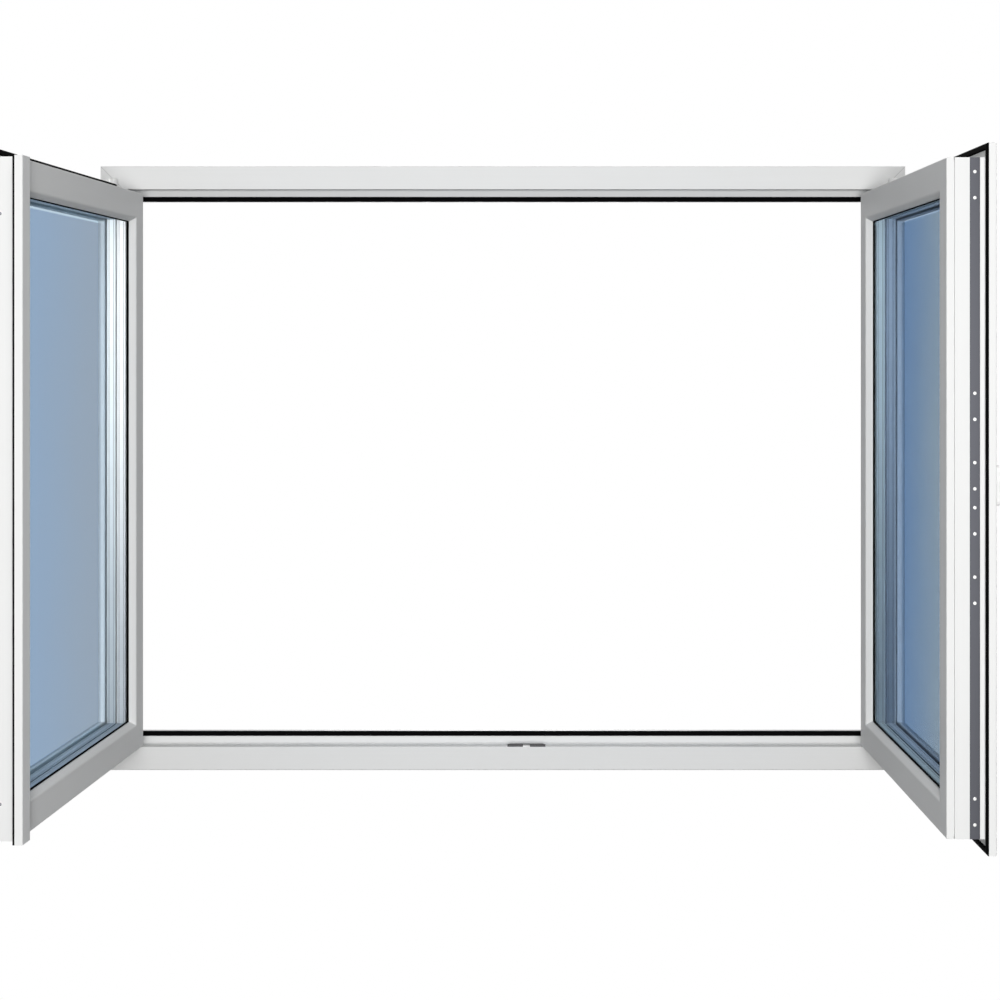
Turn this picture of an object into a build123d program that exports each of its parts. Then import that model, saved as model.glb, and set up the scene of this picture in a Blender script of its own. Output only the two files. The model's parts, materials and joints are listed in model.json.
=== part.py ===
from build123d import *
import os

# White plastic window with two leaves that open into the room and no fixed post between them.
# The left leaf carries the meeting post, the right leaf the handle; both stand open.
# X runs across the window, +Y towards the outside, +Z up.
# The origin is in the middle of the frame's underside.

# Whole window
frame_width = 1600.0
frame_height = 1200.0
left_opening_angle = 94.85
right_opening_angle = 90.0
edge_radius = 2.0

# Frame bars
frame_depth = 76.0
frame_face = 46.0
rebate_depth = 62.0
lip_height = 20.0
lip_radius = 3.0
gutter_depth = 9.0
gutter_width = 43.0
channel_width = 8.0
channel_depth = 4.0
channel_inset = 14.0

# Drain slots through the sill's outer wall
drain_slot_length = 28.0
drain_slot_height = 5.0
drain_slot_depth = 9.0
drain_slot_level = 26.0
drain_slot_spacing = 560.0

# Rubber seals and the gaps that they close
frame_seal_gap = 4.0
leaf_seal_gap = 4.0
post_seal_gap = 3.4
seal_width = 10.0
seal_clearance = 0.2
seal_foot_width = 4.0
seal_foot_depth = 4.5
seal_foot_clearance = 0.15

# Leaf bars
rebate_gap = 12.6
leaf_overlap = 8.6
overlap_thickness = 13.0
overlap_radius = 3.0
leaf_face = 49.5
leaf_sight_width = 57.0
leaf_lip_depth = 13.0
leaf_lip_tip = 2.5
leaf_lip_radius = 5.0
glazing_floor = 36.0
drip_groove_inset = 11.5
drip_groove_width = 1.5
drip_groove_depth = 4.0
hardware_groove_inset = 45.0
hardware_groove_width = 16.4
hardware_groove_depth = 3.0
rod_groove_width = 11.0
rod_groove_depth = 9.0

# Where the leaves meet
meeting_x = 0.0
meeting_gap = 2.8
post_lip_thickness = 12.8
post_lip_overlap = 10.5
post_lip_back = 4.5
post_lip_end_gap = 1.0
post_tongue_clearance = 0.2
keep_groove_width = 18.0
keep_groove_depth = 3.0

# Triple glazing
pane_thickness = 4.0
cavity_width = 16.0
glass_edge_gap = 5.0
spacer_height = 7.0
spacer_inset = 5.0
outer_gasket_thickness = 4.0
inner_gasket_thickness = 2.0
gasket_width = 7.0
outer_gasket_sight = 1.5
inner_gasket_sight = -1.0

# Glazing beads
bead_face_width = 6.0
bead_nose = 4.0
bead_hook_size = 3.0
bead_hook_inset = 6.0
bead_hook_clearance = 0.15

# Lock faceplates of the right leaf
faceplate_width = 16.0
faceplate_thickness = 2.8
faceplate_corner_gap = 14.0
faceplate_rail_length = 420.0

# Handle
handle_level = 620.0
handle_inset = 8.0
rosette_height = 65.0
rosette_width = 28.0
rosette_thickness = 10.0
rosette_radius = 9.0
lever_length = 122.0
lever_reach = 48.0
lever_width = 20.0
lever_thickness = 11.0
neck_width = 17.0
handle_edge_chamfer = 2.0

# Hinges
hinge_inset = 28.0
hinge_standoff = 1.9
barrel_diameter = 18.0
barrel_height = 34.0
barrel_gap = 0.5
pin_diameter = 8.0
pin_clearance = 0.2
hinge_end_inset = 24.6
hinge_frame_plate_width = 22.0
hinge_frame_plate_thickness = 4.0
hinge_leaf_plate_width = 26.0
hinge_leaf_plate_thickness = 3.0
cap_chamfer = 1.5

# Tilt keep on the sill
keep_start = 9.0
keep_length = 75.5
keep_depth = 17.0
keep_height = 2.8
keep_setback = 4.0
keep_notch_width = 14.0
keep_back_width = 5.0
keep_corner = 6.0

# Levels and lines worked out from the sizes above
room_y = -frame_depth / 2
outside_y = frame_depth / 2
lip_y = room_y + rebate_depth
lip_edge = frame_face + lip_height
leaf_outer_y = lip_y - frame_seal_gap
leaf_edge = frame_face + rebate_gap
overlap_reach = rebate_gap + leaf_overlap
overlap_depth = leaf_outer_y - room_y + leaf_seal_gap
leaf_depth = overlap_depth + overlap_thickness
leaf_room_y = leaf_outer_y - leaf_depth
leaf_height = frame_height - 2 * leaf_edge
left_leaf_start = -frame_width / 2 + leaf_edge
right_leaf_end = frame_width / 2 - leaf_edge
edge_distance = overlap_reach + meeting_gap
left_leaf_end = meeting_x - edge_distance / 2
right_leaf_start = meeting_x + edge_distance / 2
left_leaf_width = left_leaf_end - left_leaf_start
right_leaf_width = right_leaf_end - right_leaf_start
glass_edge = glazing_floor + glass_edge_gap
glass_outer = -leaf_lip_depth - outer_gasket_thickness
glass_inner = glass_outer - 3 * pane_thickness - 2 * cavity_width
bead_outer = glass_inner - inner_gasket_thickness
post_thickness = edge_distance - rebate_gap
post_lip_end = edge_distance + post_lip_overlap
hinge_x = frame_width / 2 - hinge_inset
hinge_y = room_y - hinge_standoff - barrel_diameter / 2


# Shared shapes

def outline(points):
    """Closed face through (across, depth, corner radius) points."""
    face = make_face(Polyline([(x, y) for x, y, radius in points], close=True))
    for x, y, radius in points:
        if radius:
            corner = face.vertices().sort_by_distance((x, y, 0))[0]
            face = fillet(corner, radius)
    return face


def slot(across, depth, width, height):
    """Rectangle with its first corner at (across, depth)."""
    return Pos(across + width / 2, depth + height / 2) * Rectangle(width, height)


def block(x, y, z):
    """Box from three (low, high) pairs."""
    size = Box(x[1] - x[0], y[1] - y[0], z[1] - z[0])
    return Pos((x[0] + x[1]) / 2, (y[0] + y[1]) / 2, (z[0] + z[1]) / 2) * size


def mitred_bar(section, length):
    """Bar along X whose outer line lies at Z = 0, with 45 degree ends."""
    box = section.bounding_box()
    low = box.min.X
    high = box.max.X
    half = length / 2
    bar_plane = Plane(origin=(0, 0, 0), x_dir=(0, 0, 1), z_dir=(-1, 0, 0))
    blank = extrude(bar_plane * section, amount=length, both=True)
    ends = Polyline((low - half, low), (half - low, low), (half - high, high), (high - half, high), close=True)
    mitre = extrude(Plane.XZ * make_face(ends), amount=2 * (abs(box.min.Y) + abs(box.max.Y)), both=True)
    return (blank & mitre).solid()


def ring_bars(section, width, height):
    """Bottom, left, top and right bars of a mitred ring centred on the origin."""
    sides = ((0, width, height), (90, height, width), (180, width, height), (270, height, width))
    bars = []
    for turn, length, across in sides:
        bars.append(Rot(0, turn, 0) * Pos(0, 0, -across / 2) * mitred_bar(section, length))
    return bars


def closed_ring(section, width, height):
    """Mitred ring in one piece."""
    bottom, left, top, right = ring_bars(section, width, height)
    return (bottom + left + top + right).solid()


# Sections: first value is the distance in from the outer edge, second the depth along Y

def seal_section(edge, seat, gap, way):
    """Rubber seal that ends at an edge, sits on a seat plane and stands out of it by way times its height."""
    height = gap - seal_clearance
    start = edge - seal_width
    crown = seat + way * height
    head = outline([
        (start, seat, 0),
        (start, seat + way * height * 0.4, 0),
        (start + seal_width * 0.25, crown, height * 0.5),
        (edge - seal_width * 0.15, crown, height * 0.35),
        (edge, seat + way * height * 0.3, 0),
        (edge, seat, 0),
    ])
    foot_width = seal_foot_width - 2 * seal_foot_clearance
    foot_depth = seal_foot_depth - seal_foot_clearance
    foot = Pos(start + seal_width / 2, seat - way * foot_depth / 2) * Rectangle(foot_width, foot_depth)
    return head + foot


def seal_groove(edge, seat, way):
    """Groove for the foot of the seal at the same edge and seat."""
    return Pos(edge - seal_width / 2, seat - way * seal_foot_depth / 2) * Rectangle(seal_foot_width, seal_foot_depth)


def frame_section():
    """Frame bar with its rebate, gutter, outer lip and the two channels of its outer side."""
    section = outline([
        (0, room_y, edge_radius),
        (frame_face, room_y, edge_radius),
        (frame_face, lip_y - gutter_width, 0),
        (frame_face - gutter_depth, lip_y - gutter_width + gutter_depth, 0),
        (frame_face - gutter_depth, lip_y, 0),
        (lip_edge, lip_y, 0),
        (lip_edge, outside_y, lip_radius),
        (0, outside_y, edge_radius),
    ])
    section -= slot(0, room_y + channel_inset, channel_depth, channel_width)
    section -= slot(0, outside_y - channel_inset - channel_width, channel_depth, channel_width)
    return section - seal_groove(lip_edge, lip_y, -1)


def leaf_section():
    """Leaf bar: outer face at depth 0, overlap flange on the room side, rebate for the glass."""
    section = outline([
        (0, 0, edge_radius),
        (leaf_face, 0, leaf_lip_radius),
        (leaf_sight_width, leaf_lip_tip - leaf_lip_depth, 0),
        (leaf_sight_width, -leaf_lip_depth, 0),
        (glazing_floor, -leaf_lip_depth, 0),
        (glazing_floor, -leaf_depth, 0),
        (-overlap_reach, -leaf_depth, overlap_radius),
        (-overlap_reach, -overlap_depth, 0),
        (0, -overlap_depth, 0),
    ])
    groove_low = -hardware_groove_inset - hardware_groove_width / 2
    rod_low = -hardware_groove_inset - rod_groove_width / 2
    section -= slot(0, groove_low, hardware_groove_depth, hardware_groove_width)
    section -= slot(0, rod_low, rod_groove_depth, rod_groove_width)
    section -= slot(0, -drip_groove_inset - drip_groove_width, drip_groove_depth, drip_groove_width)
    hook_low = -leaf_depth + bead_hook_inset
    section -= slot(glazing_floor - bead_hook_size, hook_low, bead_hook_size, bead_hook_size)
    return section - seal_groove(seal_width - overlap_reach, -overlap_depth, 1)


def bead_section():
    """Glazing bead with a sloped face and a hook that snaps into the leaf bar."""
    section = outline([
        (glazing_floor, bead_outer, 0),
        (leaf_sight_width, bead_outer, 0),
        (leaf_sight_width, bead_outer - bead_nose, 0),
        (glazing_floor + bead_face_width, -leaf_depth, edge_radius),
        (glazing_floor, -leaf_depth, 0),
    ])
    hook = bead_hook_size - 2 * bead_hook_clearance
    hook_low = -leaf_depth + bead_hook_inset + bead_hook_clearance
    return section + slot(glazing_floor - hook, hook_low, hook, hook)


def glazing_gasket_section(seat, thickness, sight):
    """Gasket between the glass and a lip or bead, which stands out of their edge by its sight."""
    edge = leaf_sight_width + sight
    return outline([
        (edge - gasket_width, seat, 0),
        (edge, seat, thickness * 0.4 if sight > 0 else 0),
        (edge, seat - thickness, 0),
        (edge - gasket_width, seat - thickness, 0),
    ])


# Frame

def frame_parts():
    """Four welded bars, drained at the sill, with the seal on their lip."""
    centre = Pos(0, 0, frame_height / 2)
    sill, left_jamb, head, right_jamb = ring_bars(frame_section(), frame_width, frame_height)
    level = drain_slot_level - frame_height / 2
    for place in (-1, 0, 1):
        cut = SlotOverall(drain_slot_length, drain_slot_height)
        cutter = extrude(Plane.XZ * cut, amount=drain_slot_depth)
        sill -= Pos(place * drain_slot_spacing, outside_y, level) * cutter
    seal = closed_ring(seal_section(lip_edge, lip_y, frame_seal_gap, -1), frame_width, frame_height)
    return {
        "frame_sill": centre * sill,
        "frame_left_jamb": centre * left_jamb,
        "frame_head": centre * head,
        "frame_right_jamb": centre * right_jamb,
        "frame_seal": centre * seal,
    }


def tilt_keep():
    """Low metal keep on the sill: its back corners are cut off, and its notch opens to the room."""
    front = room_y + keep_setback
    back = front + keep_depth
    middle = keep_start + keep_length / 2
    keep = block((keep_start, keep_start + keep_length), (front, back), (frame_face, frame_face + keep_height))
    back_corners = keep.edges().filter_by(Axis.Z).sort_by(Axis.Y)[-2:]
    keep = chamfer(back_corners, keep_corner)
    notch_x = (middle - keep_notch_width / 2, middle + keep_notch_width / 2)
    notch_y = (front - keep_setback, back - keep_back_width)
    return keep - block(notch_x, notch_y, (frame_face - keep_height, frame_face + 2 * keep_height))


# Leaves

def glass_unit(width, height):
    """Three panes and the two spacer rings between them."""
    pane_width = width - 2 * glass_edge
    pane_height = height - 2 * glass_edge
    ring_width = pane_width - 2 * spacer_inset
    ring_height = pane_height - 2 * spacer_inset
    panes = []
    spacers = []
    for index in range(3):
        middle = glass_outer - index * (pane_thickness + cavity_width) - pane_thickness / 2
        panes.append(Pos(0, middle, 0) * Box(pane_width, pane_thickness, pane_height))
    for index in range(2):
        middle = glass_outer - pane_thickness - index * (pane_thickness + cavity_width) - cavity_width / 2
        ring = Box(ring_width, cavity_width, ring_height)
        ring -= Box(ring_width - 2 * spacer_height, cavity_width, ring_height - 2 * spacer_height)
        spacers.append(Pos(0, middle, 0) * ring)
    return Compound(children=panes), Compound(children=spacers)


def leaf_parts(name, width, side_names):
    """Bars, beads, glass and seals of one leaf, centred on its outer face."""
    parts = {}
    sides = ("bottom", side_names[0], "top", side_names[1])
    kinds = {"bottom": "rail", "top": "rail"}
    for side, bar in zip(sides, ring_bars(leaf_section(), width, leaf_height)):
        parts[f"{name}_{side}_{kinds.get(side, 'stile')}"] = bar
    for side, bead in zip(sides, ring_bars(bead_section(), width, leaf_height)):
        parts[f"{name}_{side}_bead"] = bead
    panes, spacers = glass_unit(width, leaf_height)
    parts[f"{name}_panes"] = panes
    parts[f"{name}_spacers"] = spacers
    outer = glazing_gasket_section(-leaf_lip_depth, outer_gasket_thickness, outer_gasket_sight)
    inner = glazing_gasket_section(glass_inner, inner_gasket_thickness, inner_gasket_sight)
    gaskets = [closed_ring(section, width, leaf_height) for section in (outer, inner)]
    parts[f"{name}_glazing_gaskets"] = Compound(children=gaskets)
    seal = seal_section(seal_width - overlap_reach, -overlap_depth, leaf_seal_gap, 1)
    parts[f"{name}_overlap_seal"] = closed_ring(seal, width, leaf_height)
    return parts


def upright(section, height):
    """Straight bar along Z, centred on the origin."""
    return extrude(section, amount=height / 2, both=True)


def without_free_flange(leaf):
    """Left leaf whose free edge is flat, since the meeting post sits there instead of a flange."""
    free_edge = left_leaf_width / 2
    reach = 2 * (overlap_reach + leaf_depth)
    beyond = block((free_edge, free_edge + reach), (-reach, reach), (-leaf_height, leaf_height))
    for node in ("bottom_rail", "top_rail", "meeting_stile", "overlap_seal"):
        leaf[f"left_leaf_{node}"] = (leaf[f"left_leaf_{node}"] - beyond).solid()
    return leaf


def meeting_post_parts():
    """Post on the left leaf's free edge: body with a tongue, cover lip with soft end caps, and its seal."""
    place = Pos(left_leaf_width / 2, 0, 0)
    room_side = leaf_seal_gap - overlap_depth
    body = outline([
        (0, 0, 0),
        (post_thickness, 0, 0),
        (post_thickness, room_side, edge_radius),
        (0, room_side, 0),
    ])
    keep_low = -hardware_groove_inset - keep_groove_width / 2
    body -= slot(post_thickness - keep_groove_depth, keep_low, keep_groove_depth, keep_groove_width)
    tongue_width = hardware_groove_width - 2 * post_tongue_clearance
    tongue_depth = hardware_groove_depth - post_tongue_clearance
    body += slot(-tongue_depth, -hardware_groove_inset - tongue_width / 2, tongue_depth, tongue_width)
    lip_face = post_seal_gap + post_lip_thickness
    lip = outline([
        (-post_lip_back, 0, 0),
        (post_thickness, 0, 0),
        (post_thickness, post_seal_gap, 0),
        (post_lip_end, post_seal_gap, 0),
        (post_lip_end, lip_face, lip_radius),
        (-post_lip_back, lip_face, lip_radius),
    ])
    lip -= seal_groove(post_lip_end, post_seal_gap, -1)
    seal = seal_section(post_lip_end, post_seal_gap, post_seal_gap, -1)
    lip_length = frame_height - 2 * (lip_edge + post_lip_end_gap)
    cap_length = (leaf_height - lip_length) / 2
    cap_level = (lip_length + cap_length) / 2
    cap = place * upright(lip, cap_length)
    return {
        "meeting_post": place * (upright(body, leaf_height) + upright(lip, lip_length)),
        "meeting_post_end_caps": Compound(children=[Pos(0, 0, -cap_level) * cap, Pos(0, 0, cap_level) * cap]),
        "meeting_post_seal": place * upright(seal, leaf_height),
    }


def lock_faceplates():
    """Flat plates in the hardware groove: the whole free edge, and short runs on both rails."""
    left = -right_leaf_width / 2
    bottom = -leaf_height / 2
    depth = (-hardware_groove_inset - faceplate_width / 2, -hardware_groove_inset + faceplate_width / 2)
    floor = hardware_groove_depth
    face = floor - faceplate_thickness
    run = (left + faceplate_corner_gap, left + faceplate_corner_gap + faceplate_rail_length)
    plates = [
        block((left + face, left + floor), depth, (bottom, -bottom)),
        block(run, depth, (bottom + face, bottom + floor)),
        block(run, depth, (-bottom - floor, -bottom - face)),
    ]
    return Compound(children=plates)


def handle_parts():
    """Rosette and lever, turned level as when the leaf is open, centred like the right leaf."""
    place = Pos(handle_inset - right_leaf_width / 2, -leaf_depth, handle_level - frame_height / 2)
    rosette = extrude(Plane.XZ * RectangleRounded(rosette_width, rosette_height, rosette_radius), rosette_thickness)
    rosette = chamfer(rosette.faces().sort_by(Axis.Y)[0].edges(), handle_edge_chamfer)
    half_neck = neck_width / 2
    inner = -rosette_thickness - lever_reach + lever_thickness
    outer = -rosette_thickness - lever_reach
    side_view = outline([
        (-half_neck, -rosette_thickness, 0),
        (half_neck, -rosette_thickness, 0),
        (half_neck, inner, lever_thickness * 0.7),
        (lever_length - half_neck, inner, lever_thickness * 0.4),
        (lever_length - half_neck, outer, lever_thickness * 0.4),
        (-half_neck, outer, lever_thickness * 1.2),
    ])
    lever = extrude(side_view, amount=lever_width / 2, both=True)
    flat_sides = lever.faces().sort_by(Axis.Z)
    lever = chamfer(flat_sides[0].edges() + flat_sides[-1].edges(), handle_edge_chamfer)
    return {"handle_rosette": place * rosette, "handle_lever": place * lever}


def opened(side, angle):
    """Turn about a hinge axis, for parts placed as with the leaf shut."""
    axis = Pos(side * hinge_x, hinge_y, 0)
    return axis * Rot(0, 0, side * angle) * axis.inverse()


# Hinges

def barrel(side, span, end):
    """Round hinge barrel on one axis, with a chamfered cap at its upper (1) or lower (-1) end."""
    body = Cylinder(barrel_diameter / 2, span[1] - span[0])
    rim = body.faces().sort_by(Axis.Z)[-1 if end > 0 else 0].edges()
    return Pos(side * hinge_x, hinge_y, (span[0] + span[1]) / 2) * chamfer(rim, cap_chamfer)


def across(side, first, last):
    """Ordered pair of X values, mirrored for the left side."""
    return tuple(sorted((side * first, side * last)))


def hinge_parts(side, low, frame_end):
    """Frame part with its pin at the upper (1) or lower (-1) end, and leaf part with its bore beside it."""
    middle = low + barrel_height
    high = middle + barrel_gap + barrel_height
    spans = ((low, middle), (middle + barrel_gap, high))
    leaf_span, frame_span = spans if frame_end > 0 else spans[::-1]
    centre = Pos(side * hinge_x, hinge_y, (low + high) / 2)
    plate_span = (frame_span[0] + cap_chamfer, frame_span[1] - cap_chamfer)
    plate_y = (room_y - hinge_frame_plate_thickness, room_y)
    frame_part = barrel(side, frame_span, frame_end)
    frame_part += block(across(side, hinge_x, hinge_x + hinge_frame_plate_width), plate_y, plate_span)
    frame_part += centre * Cylinder(pin_diameter / 2, high - low - 2 * cap_chamfer)
    plate_span = (leaf_span[0] + cap_chamfer, leaf_span[1] - cap_chamfer)
    plate_y = (leaf_room_y - hinge_leaf_plate_thickness, leaf_room_y)
    leaf_part = barrel(side, leaf_span, -frame_end)
    leaf_part += block(across(side, hinge_x, hinge_x - hinge_leaf_plate_width), plate_y, plate_span)
    leaf_part -= centre * Cylinder(pin_diameter / 2 + pin_clearance, high - low)
    return frame_part, leaf_part


def build_window():
    """All named parts in place, with both leaves open."""
    parts = frame_parts()
    parts["tilt_keep"] = tilt_keep()
    left = leaf_parts("left_leaf", left_leaf_width, ("hinge", "meeting"))
    left = without_free_flange(left)
    left.update(meeting_post_parts())
    right = leaf_parts("right_leaf", right_leaf_width, ("lock", "hinge"))
    right["lock_faceplates"] = lock_faceplates()
    right.update(handle_parts())
    left_middle = (left_leaf_start + left_leaf_end) / 2
    right_middle = (right_leaf_start + right_leaf_end) / 2
    leaves = (
        ("left", -1, left_opening_angle, left, left_middle),
        ("right", 1, right_opening_angle, right, right_middle),
    )
    hinge_height = 2 * barrel_height + barrel_gap
    levels = (
        ("bottom", hinge_end_inset, -1),
        ("top", frame_height - hinge_end_inset - hinge_height, 1),
    )
    for name, side, angle, leaf, middle in leaves:
        turn = opened(side, angle)
        shut = Pos(middle, leaf_outer_y, frame_height / 2)
        for node, part in leaf.items():
            parts[node] = turn * shut * part
        for level, low, frame_end in levels:
            frame_part, leaf_part = hinge_parts(side, low, frame_end)
            parts[f"{name}_{level}_hinge_on_frame"] = frame_part
            parts[f"{name}_{level}_hinge_on_leaf"] = turn * leaf_part
    return parts


os.makedirs("parts", exist_ok=True)
for node, part in build_window().items():
    export_step(part, f"parts/{node}.step")
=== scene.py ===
import json
import math

import bmesh
import bpy
from bpy.props import FloatProperty, FloatVectorProperty, PointerProperty
from mathutils import Matrix, Vector

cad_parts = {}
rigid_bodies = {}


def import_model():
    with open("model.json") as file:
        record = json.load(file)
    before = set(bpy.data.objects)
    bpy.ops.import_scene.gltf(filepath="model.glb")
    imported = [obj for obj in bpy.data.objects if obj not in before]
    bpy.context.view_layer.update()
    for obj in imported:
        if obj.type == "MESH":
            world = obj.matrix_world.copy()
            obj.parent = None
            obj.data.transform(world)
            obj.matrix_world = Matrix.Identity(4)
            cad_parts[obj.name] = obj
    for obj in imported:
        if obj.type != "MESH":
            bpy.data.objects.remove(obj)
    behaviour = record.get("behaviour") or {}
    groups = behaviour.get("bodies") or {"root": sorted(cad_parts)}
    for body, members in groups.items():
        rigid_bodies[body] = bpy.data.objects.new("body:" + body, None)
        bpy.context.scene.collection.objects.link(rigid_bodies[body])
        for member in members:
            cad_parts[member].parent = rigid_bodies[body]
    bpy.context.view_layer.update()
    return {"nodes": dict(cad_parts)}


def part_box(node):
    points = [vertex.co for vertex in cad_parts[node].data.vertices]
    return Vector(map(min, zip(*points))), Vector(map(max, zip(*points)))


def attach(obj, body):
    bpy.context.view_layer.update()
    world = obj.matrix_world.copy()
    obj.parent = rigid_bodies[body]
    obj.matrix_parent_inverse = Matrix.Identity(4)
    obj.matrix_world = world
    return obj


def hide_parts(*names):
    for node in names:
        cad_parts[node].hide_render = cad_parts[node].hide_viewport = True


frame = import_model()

bl_info = {
    "name": "Open Two-Leaf Window",
    "version": (1, 0, 0),
    "blender": (4, 5, 0),
    "location": "3D View > Sidebar > Window",
    "description": "Finishes, screws, beads and spacer holes for a white plastic window with two open leaves",
    "category": "Object",
}

nodes = frame["nodes"]
UP = Vector((0, 0, 1))
SIDES = ("left", "right")
STILES = {"left": ("hinge", "meeting"), "right": ("lock", "hinge")}

# Screws on the lock faceplate, measured up and down from the middle of the leaf
FACEPLATE_SCREW_LEVELS = (0.015, 0.0565, 0.1253, 0.1667, 0.4772, 0.5186)
# Screws that hold the meeting post, measured from the middle of the leaf, and how deep behind its outer face
POST_SCREW_LEVELS = (-0.483, 0.451)
POST_SCREW_DEPTH = 0.028


# What the parts measure

def corners(node):
    """The corners of a node's mesh, each once."""
    rounded = {tuple(round(value, 6) for value in vertex.co) for vertex in nodes[node].data.vertices}
    return [Vector(corner) for corner in sorted(rounded)]


def mean(points):
    return sum(points, Vector()) / len(points)


class Leaf:
    """Where an open leaf stands: the middle of its glass, its way from hinge to free edge, its outer side."""

    def __init__(self, side):
        points = sorted(corners(f"{side}_leaf_panes"), key=lambda point: point.y)
        half = len(points) // 2
        self.middle = mean(points)
        self.along = (mean(points[:half]) - mean(points[half:])).normalized()
        self.outward = UP.cross(self.along) * (1 if side == "left" else -1)

    def local(self, node):
        """Corners of a node as (towards the free edge, outwards, up) from the middle of the glass."""
        axes = Matrix((self.along, self.outward, UP))
        return [axes @ (point - self.middle) for point in corners(node)]

    def world(self, along, outward, up):
        return self.middle + along * self.along + outward * self.outward + up * UP

    def turn(self):
        """Angle of the leaf's rails from the X axis."""
        return math.atan2(self.along.y, self.along.x)


leaves = {side: Leaf(side) for side in SIDES}


# Node building

class Value:
    """A number on a node socket. Arithmetic on it adds Math nodes."""

    def __init__(self, finish, socket):
        self.finish = finish
        self.socket = socket

    def math(self, operation, *others):
        inputs = dict(enumerate((self, *others)))
        return self.finish.node("ShaderNodeMath", {"operation": operation}, inputs)

    def __add__(self, other):
        return self.math("ADD", other)

    def __sub__(self, other):
        return self.math("SUBTRACT", other)

    def __rsub__(self, other):
        return self.math("MULTIPLY_ADD", -1.0, other)

    def __mul__(self, other):
        return self.math("MULTIPLY", other)

    def __abs__(self):
        return self.math("ABSOLUTE")

    __radd__ = __add__
    __rmul__ = __mul__


def add_node(tree, kind, settings, inputs):
    """Adds a node to a shader or geometry tree: its settings first, then its values and links."""
    made = tree.nodes.new(kind)
    for name, value in settings.items():
        setattr(made, name, value)
    for key, value in inputs.items():
        source = getattr(value, "socket", value)
        if isinstance(source, bpy.types.NodeSocket):
            tree.links.new(source, made.inputs[key])
        else:
            made.inputs[key].default_value = source
    return made


class Finish:
    """A procedural material that is built node by node."""

    def __init__(self, name):
        self.material = bpy.data.materials.new(name)
        self.material.use_nodes = True
        self.tree = self.material.node_tree
        self.tree.nodes.clear()

    def node(self, kind, settings, inputs, output=0):
        return Value(self, add_node(self.tree, kind, settings, inputs).outputs[output])

    def place(self):
        return self.node("ShaderNodeTexCoord", {}, {}, "Object")

    def grain(self, turn, size):
        """Noise whose features measure size along the turned axes, in metres."""
        settings = {"vector_type": "TEXTURE"}
        inputs = {"Vector": self.place(), "Rotation": (0, 0, turn), "Scale": size}
        stretched = self.node("ShaderNodeMapping", settings, inputs)
        return self.node("ShaderNodeTexNoise", {}, {"Vector": stretched, "Scale": 1.0, "Detail": 3.0}, "Fac")

    def tint(self, factor, first, second):
        """Mix of two colours, each a vector or another mix."""
        ends = [colour if isinstance(colour, Value) else (*colour, 1.0) for colour in (first, second)]
        return self.node("ShaderNodeMix", {"data_type": "RGBA"}, {0: factor, 6: ends[0], 7: ends[1]}, 2)

    def step(self, value, low, high):
        inputs = {"Value": value, "From Min": low, "From Max": high}
        return self.node("ShaderNodeMapRange", {"interpolation_type": "SMOOTHSTEP"}, inputs)

    def along(self, origin, direction):
        """Distance along a direction from an origin."""
        offset = self.node("ShaderNodeVectorMath", {"operation": "SUBTRACT"}, {0: self.place(), 1: origin})
        return self.node("ShaderNodeVectorMath", {"operation": "DOT_PRODUCT"}, {0: offset, 1: direction}, "Value")

    def bump(self, height, depth):
        return self.node("ShaderNodeBump", {}, {"Height": height, "Distance": depth})

    def surface(self, inputs):
        shader = self.node("ShaderNodeBsdfPrincipled", {}, inputs)
        add_node(self.tree, "ShaderNodeOutputMaterial", {}, {"Surface": shader})
        return self.material


class Recipe:
    """A Geometry Nodes tree with named inputs that turns a guide mesh into a finished piece."""

    def __init__(self, name, inputs):
        self.tree = bpy.data.node_groups.new(name, "GeometryNodeTree")
        sockets = {"Guide": "NodeSocketGeometry", **inputs, "Finish": "NodeSocketMaterial"}
        for label, kind in sockets.items():
            self.tree.interface.new_socket(label, in_out="INPUT", socket_type=kind)
        self.tree.interface.new_socket("Piece", in_out="OUTPUT", socket_type="NodeSocketGeometry")
        self.inputs = self.tree.nodes.new("NodeGroupInput").outputs

    def node(self, kind, settings, inputs, output=0):
        return add_node(self.tree, kind, settings, inputs).outputs[output]

    def facing(self):
        """Rotation that turns +Z to the way that a guide point faces."""
        settings = {"data_type": "FLOAT_VECTOR"}
        way = self.node("GeometryNodeInputNamedAttribute", settings, {"Name": "facing"})
        return self.node("FunctionNodeAlignRotationToVector", {"axis": "Z"}, {"Vector": way})

    def close(self, instances):
        plain = self.node("GeometryNodeRealizeInstances", {}, {"Geometry": instances})
        painted = {"Geometry": plain, "Material": self.inputs["Finish"]}
        add_node(self.tree, "NodeGroupOutput", {}, {0: self.node("GeometryNodeSetMaterial", {}, painted)})

    def grow(self, name, guide, slot, **values):
        """Runs the tree on a guide mesh and keeps the result as a plain mesh."""
        piece = bpy.data.objects.new(name, guide)
        bpy.context.scene.collection.objects.link(piece)
        modifier = piece.modifiers.new(self.tree.name, "NODES")
        modifier.node_group = self.tree
        for item in self.tree.interface.items_tree:
            label = item.name.lower().replace(" ", "_")
            if item.in_out == "INPUT" and label in values:
                modifier[item.identifier] = values[label]
        grown = piece.evaluated_get(bpy.context.evaluated_depsgraph_get())
        mesh = bpy.data.meshes.new_from_object(grown)
        piece.modifiers.clear()
        piece.data = mesh
        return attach(piece, "root")


def guide_mesh(name, spots, edges=()):
    """Guide vertices from (place, facing) pairs, joined by edges where a line is followed."""
    mesh = bpy.data.meshes.new(name)
    mesh.from_pydata([place for place, facing in spots], edges, [])
    ways = mesh.attributes.new("facing", "FLOAT_VECTOR", "POINT")
    for way, (place, facing) in zip(ways.data, spots):
        way.vector = facing
    return mesh


def dress(names, material):
    """Gives CAD parts a finish."""
    for name in names:
        for slot in nodes[name].material_slots:
            slot.material = material


# Settings

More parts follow.
